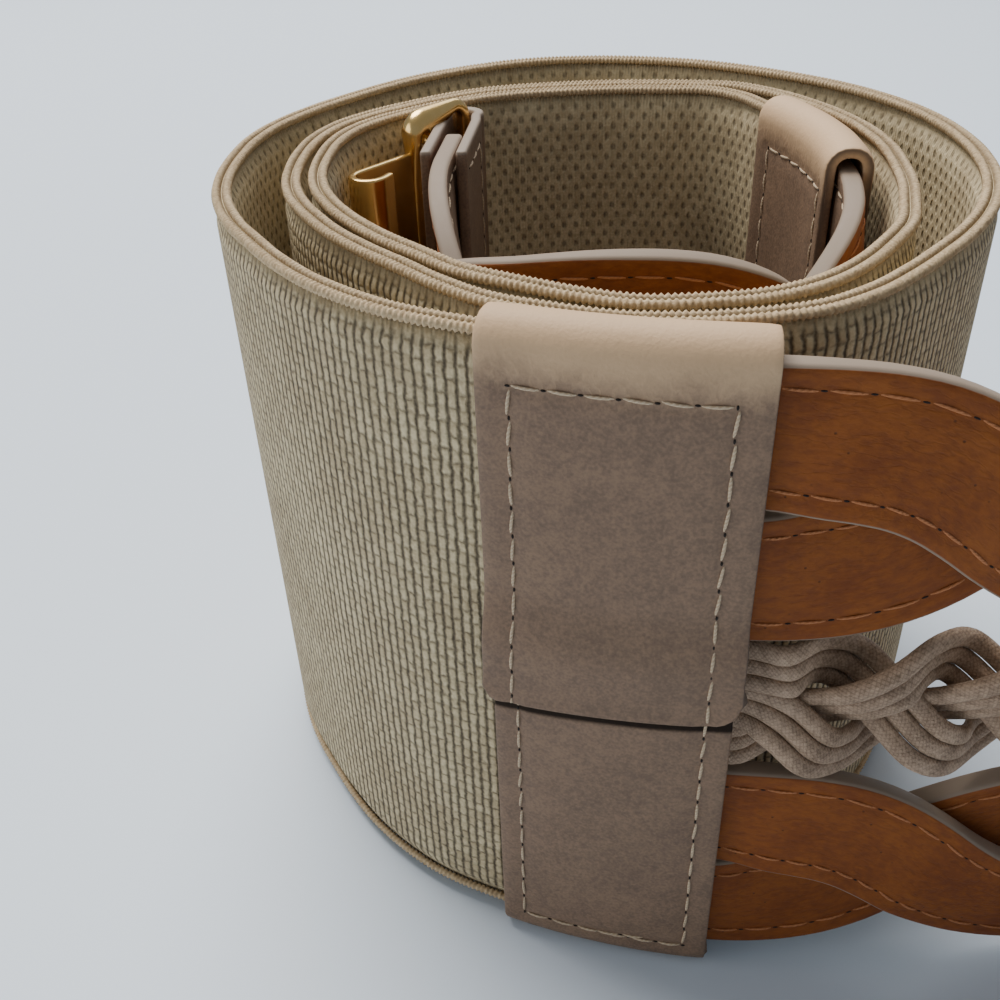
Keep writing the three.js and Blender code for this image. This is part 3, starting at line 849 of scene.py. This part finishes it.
def makeStraps():
    profile = strapProfile()
    count = len(profile)
    material = strapMaterial(strapSizes["width"])
    line = strapSizes["width"] / 2 - strapSizes["stitchInset"]
    inset = strapSizes["stitchEnd"]
    look = [strapSizes[key] for key in ("stitchPitch", "stitchWidth", "stitchSlant", "stitchJitter")]
    for side in ("outer", "inner"):
        threads = {1: [], -1: []}
        holes = []
        for name in strapNames:
            course = strips[f"{side}_{name}"]
            length = course.marks[-1]

            def shape(u, v):
                point = profile[round(v * count) % count]
                return Vector((u * length, point.x, point.y))

            bm = gridForm(round(length / strapSizes["step"]), count, shape, roundAcross=True)
            node = f"{side}_{name}"
            addPiece(f"{node}_leather", layOn(bm, course.place), material, replaces=node)
            for outward in (1, -1):
                face = lambda up, along, lift: outward * (strapFace(up) + lift)
                for up in (line, -line):
                    start, end = Vector((inset, up)), Vector((length - inset, up))
                    run = stitchRun(start, end, face, *look)
                    threads[outward].append(layOn(joinForms(run[0]), course.place))
                    holes.append(layOn(joinForms(run[1]), course.place))
        addPiece(f"{side}_strap_back_stitches", joinForms(threads[1]), tanThread)
        addPiece(f"{side}_strap_front_stitches", joinForms(threads[-1]), creamThread)
        addPiece(f"{side}_strap_needle_holes", joinForms(holes), needleHoleShade)


makeStraps()
print("straps made")


# Braid: each strand is three waxed cords side by side

cordSizes = {
    "radius": 1.0,
    "flat": 0.92,  # the cord's depth as a share of its width
    "pitch": 2.02,
    "sides": 14,
    "plaits": 5.0,  # round a cord
    "plaitTurn": 7.5,  # radians for each mm
    "sway": 0.12,  # mm
    "swayTurn": 0.31,
    "swayShift": 2.1,  # between two cords
    "step": 0.7,
    "light": colour(192, 164, 138),
    "dark": colour(120, 96, 74),
}


def cordMaterial():
    shader = Shader("waxedCord")
    place, (along, outward, up) = shader.beltPlace()
    wobble = shader.noise(place, 1.1, 2.0) * 1.6
    angle = up.math("ARCTAN2", outward) * cordSizes["plaits"]
    first = (along * cordSizes["plaitTurn"] + angle + wobble).math("SINE")
    second = (along * cordSizes["plaitTurn"] - angle + wobble).math("SINE")
    plait = (first * second).math("ABSOLUTE").smooth(0.0, 0.6)
    fibre = shader.noise(place, 3.4, 4.0, (0.5, 1, 1))
    mottle = shader.noise(place, 0.5, 3.0)
    # painted shade: the plait's grooves are a little darker than its raised crowns
    tone = plait * 0.12 + fibre * 0.7 + mottle * 0.5
    painted = shader.mix(tone.smooth(0.35, 0.95), cordSizes["dark"], cordSizes["light"])
    return shader.finish(painted, 0.66, plait * 0.25 + fibre * 0.9, 0.12)


def makeBraids():
    material = cordMaterial()
    for side in ("outer", "inner"):
        for name in strandNames:
            course = strips[f"{side}_{name}"]
            length = course.marks[-1]
            cords = []
            for k in (-1, 0, 1):

                def shape(u, v):
                    angle = 2 * math.pi * v
                    out = cordSizes["radius"] * cordSizes["flat"] * math.cos(angle)
                    return Vector((u * length, out, cordSizes["radius"] * math.sin(angle)))

                drift = lambda along: math.sin(along * cordSizes["swayTurn"] + k * cordSizes["swayShift"])
                sway = lambda along: cordSizes["sway"] * drift(along)
                rise = k * cordSizes["pitch"]
                place = lambda along, out, up: course.place(along, out + sway(along), up + rise)
                steps = round(length / cordSizes["step"])
                cord = gridForm(steps, cordSizes["sides"], shape, roundAcross=True)
                cords.append(layOn(cord, place))
            node = f"{side}_{name}"
            addPiece(f"{node}_cords", joinForms(cords), material, replaces=node)


makeBraids()
print("braids made")


# Clasp tabs: leather folded round the bar of each clasp half

claspTab = {
    "offset": 2.15,  # mm from the middle plane to the leather's middle
    "foldRadius": 2.1,
    "foldReach": 118,  # degrees either way
    "height": 73.8,
    "step": 1.0,
    "rim": 0.3,
    "stitchInset": 2.6,
    "foldSteps": 22,
    "neck": 2.4,  # mm from the fold's ends to the flat leather
    "lineStep": 0.6,
    "stitchBack": 2,  # mm from the leather's open end
    "stitchFront": 5.2,  # mm from the bar's middle
    "stitch": (3.1, 0.3, 0.04, 0.08),  # pitch, width, slant and jitter
    "padding": 0.05,  # how much thicker than its solid the leather is, on each side
}


def claspTabMaterial():
    shader = Shader("claspTabLeather")
    place, (_, _, up) = shader.beltPlace()
    base, height = taupeLook(shader, place, 0.0, 0.0)
    isEdge = up.math("ABSOLUTE").smooth(claspTab["height"] / 2 - 0.5, claspTab["height"] / 2 - 0.28)
    painted = shader.mix(isEdge, base, hide["edge"])
    return shader.finish(painted, 0.56, height * (1 - isEdge), 0.07)


def barStation(end):  # the bar's middle, and the belt's direction as it runs out to that bar
    seat, reach = beltSizes["seatDepth"], beltSizes["claspTabLength"]
    along = belt.marks[-1] - seat + reach if end > 0 else seat - reach
    centre = belt.at(along)[0]
    inner = belt.at(along - end * 2)[0]
    return centre, (centre - inner).normalized()


def stationPlace(centre, direction):  # direction is level, and up is kept
    leftward = Vector((-direction.y, direction.x, 0))

    def place(along, out, up):
        return centre + direction * (along * mm) + leftward * (out * mm) + upward * (up * mm)

    return place


def makeClaspTab(side, centre, direction, material):
    reach = claspTab["foldReach"]
    fold = arc(0, 0, claspTab["foldRadius"], -reach, reach, claspTab["foldSteps"])
    length = beltSizes["claspTabLength"]
    neck, offset = fold[0].x - claspTab["neck"], claspTab["offset"]
    right, left = [[Vector((x, way * offset)) for x in (-length, neck)] for way in (-1, 1)]
    points = evenPoints(right + fold + left[::-1], claspTab["lineStep"])
    normals = [outwardAt(points, i) for i in range(len(points))]
    half = beltSizes["leather"] / 2 + claspTab["padding"]

    def shape(u, v):
        i = round(u * (len(points) - 1))
        spot = points[i] - normals[i] * half
        return Vector((spot.x, spot.y, (v - 0.5) * claspTab["height"]))

    bm = gridForm(len(points) - 1, round(claspTab["height"] / claspTab["step"]), shape)
    bmesh.ops.solidify(bm, geom=bm.faces[:], thickness=2 * half)
    roundRims(bm, claspTab["rim"])
    name = f"{side}_clasp_tab"
    place = stationPlace(centre, direction)
    addPiece(f"{name}_leather", layOn(bm, place), material, replaces=name)
    runs = []
    inset = claspTab["height"] / 2 - claspTab["stitchInset"]
    for out in (1, -1):
        face = lambda up, along, lift: out * (claspTab["offset"] + half + lift)
        back, front = claspTab["stitchBack"] - length, -claspTab["stitchFront"]
        spots = ((back, -inset), (front, -inset), (front, inset), (back, inset))
        corners = [Vector(spot) for spot in spots]
        for i, (corner, onward) in enumerate(zip(corners, corners[1:])):
            runs.append(stitchRun(corner, onward, face, *claspTab["stitch"], seed=i))
    addStitches(name, runs, place, 0, creamThread)


# Gold clasp

gold = {
    "wire": 1.8,
    "hookWindow": 9.6,
    "ringWindow": 13,
    "corner": 1.9,
    "height": 78,
    "fold": 145,  # degrees from the belt's direction to the hook's
    "plateLength": 9.6,
    "plateThickness": 1,
    "plateInset": 5,
    "lipRadius": 2.1,
    "lipSweep": 200,
    "lipEnd": 1.5,
    "domeHeight": 4.6,  # mm, of the frame's top and bottom away from the bar
    "domeWidth": 3.4,
    "domeStart": 3.4,  # mm from the bar's middle
    "domeFull": 6.4,
    "domeDrop": 6,  # mm below the frame's top, where the swell ends
    "domeEase": 4,
    "wireSides": 14,
    "wireStep": 3,
    "cornerSteps": 6,
    "lipSteps": 18,
    "plateStep": 0.45,
    "plateRows": 24,
    "plateRim": 0.3,
}


def goldMaterial():
    shader = Shader("gold")
    place = shader.beltPlace()[0]
    haze = shader.noise(place, 0.3, 3.0)
    brushed = shader.noise(place, 2.0, 2.0, (1, 1, 0.08))
    painted = shader.mix(haze.smooth(0.3, 0.8), colour(244, 208, 140), colour(232, 190, 118))
    return shader.finish(painted, 0.16 + haze * 0.16, brushed, 0.012, Metallic=1.0)


def wireLoop(depth, domed):  # domed is 1 where the frame swells away from its bar, else 0
    half = gold["wire"] / 2
    top = gold["height"] / 2 - half
    corner = gold["corner"]
    near, far, low, high = corner, depth - corner, corner - top, top - corner
    centres = [(far, low), (far, high), (near, high), (near, low)]
    path = []
    for i, (x, z) in enumerate(centres):
        path += arc(x, z, corner, -90 + 90 * i, 90 * i, gold["cornerSteps"])
    points = []
    for before, after in zip(path, path[1:] + path[:1]):
        pieces = max(round((after - before).length / gold["wireStep"]), 1)
        points += [before.lerp(after, k / pieces) for k in range(pieces)]
    count = len(points)

    def shape(u, v):
        i = round(u * count) % count
        along = (points[(i + 1) % count] - points[i - 1]).normalized()
        angle = 2 * math.pi * v
        inward = Vector((-along.y, along.x))
        t = min(max((points[i].x - gold["domeStart"]) / (gold["domeFull"] - gold["domeStart"]), 0), 1)
        nearTop = min(max((abs(points[i].y) - top + gold["domeDrop"]) / gold["domeEase"], 0), 1)
        swell = domed * t * t * (3 - 2 * t) * nearTop
        tall = half + (gold["domeHeight"] / 2 - half) * swell * abs(inward.y)
        wide = half + (gold["domeWidth"] / 2 - half) * swell
        spot = points[i] + inward * (tall - half - tall * math.cos(angle))
        return Vector((spot.x, wide * math.sin(angle), spot.y))

    return gridForm(count, gold["wireSides"], shape, roundAcross=True, roundAlong=True)


def hookPlate():
    end = gold["hookWindow"] + gold["plateLength"]
    lip = arc(end, gold["lipRadius"], gold["lipRadius"], -90, -90 + gold["lipSweep"], gold["lipSteps"])
    onward = (lip[-1] - lip[-2]).normalized() * gold["lipEnd"]
    points = evenPoints([Vector((gold["hookWindow"], 0)), *lip, lip[-1] + onward], gold["plateStep"])
    normals = [outwardAt(points, i) for i in range(len(points))]
    height = gold["height"] - 2 * gold["plateInset"]

    def shape(u, v):
        i = round(u * (len(points) - 1))
        spot = points[i] - normals[i] * (gold["plateThickness"] / 2)
        return Vector((spot.x, spot.y, (v - 0.5) * height))

    bm = gridForm(len(points) - 1, gold["plateRows"], shape)
    bmesh.ops.solidify(bm, geom=bm.faces[:], thickness=gold["plateThickness"])
    roundRims(bm, gold["plateRim"], segments=3)
    return bm


def makeClasp():
    leatherLook, goldLook = claspTabMaterial(), goldMaterial()
    innerBar, inward = barStation(1)
    outerBar, outward = barStation(-1)
    makeClaspTab("inner", innerBar, inward, leatherLook)
    makeClaspTab("outer", outerBar, outward, leatherLook)
    hookWay = Matrix.Rotation(math.radians(gold["fold"]), 3, "Z") @ inward
    hook = layOn(joinForms([wireLoop(gold["hookWindow"], 1), hookPlate()]), stationPlace(innerBar, hookWay))
    addPiece("hook_gold", hook, goldLook, body="hook", replaces="clasp_hook")
    ring = layOn(wireLoop(gold["ringWindow"], 0), stationPlace(outerBar, outward))
    addPiece("ring_gold", ring, goldLook, replaces="clasp_ring")


makeClasp()
print("clasp made")


# Floor and lights


def makeStage():
    stage = {
        "floorSize": 6,
        "floor": colour(217, 228, 239),
        "sky": (0.82, 0.9, 1.0, 1),
        "skyStrength": 0.3,
        "lights": [  # place, size, watts and colour; each one looks at the coil
            ((-0.35, 0.6, 1.3), 1.1, 34, (1.0, 0.98, 0.96)),
            ((0.2, 1.1, 0.9), 0.9, 4, (0.97, 0.98, 1.0)),
            ((-1.0, -0.2, 0.35), 0.7, 2.2, (1.0, 0.97, 0.92)),
        ],
    }
    bm = bmesh.new()
    bmesh.ops.create_grid(bm, x_segments=2, y_segments=2, size=stage["floorSize"] / 2)
    mesh = bpy.data.meshes.new("floor")
    bm.to_mesh(mesh)
    bm.free()
    floor = bpy.data.objects.new("floor", mesh)
    bpy.context.scene.collection.objects.link(floor)
    shader = Shader("floor")
    mesh.materials.append(shader.finish(stage["floor"], 0.55, None, 0))
    target = (Vector(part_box("elastic_band")[0]) + Vector(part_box("elastic_band")[1])) / 2
    for i, (spot, size, watts, tint) in enumerate(stage["lights"]):
        lamp = bpy.data.lights.new(f"light{i}", "AREA")
        lamp.shape, lamp.size, lamp.energy, lamp.color = "DISK", size, watts, tint
        holder = bpy.data.objects.new(f"light{i}", lamp)
        holder.location = Vector(spot)
        holder.rotation_mode = "QUATERNION"
        holder.rotation_quaternion = (target - holder.location).to_track_quat("-Z", "Y")
        bpy.context.scene.collection.objects.link(holder)
    world = bpy.data.worlds.new("sky")
    world.use_nodes = True
    sky = world.node_tree.nodes["Background"]
    sky.inputs["Color"].default_value = stage["sky"]
    sky.inputs["Strength"].default_value = stage["skyStrength"]
    bpy.context.scene.world = world


makeStage()
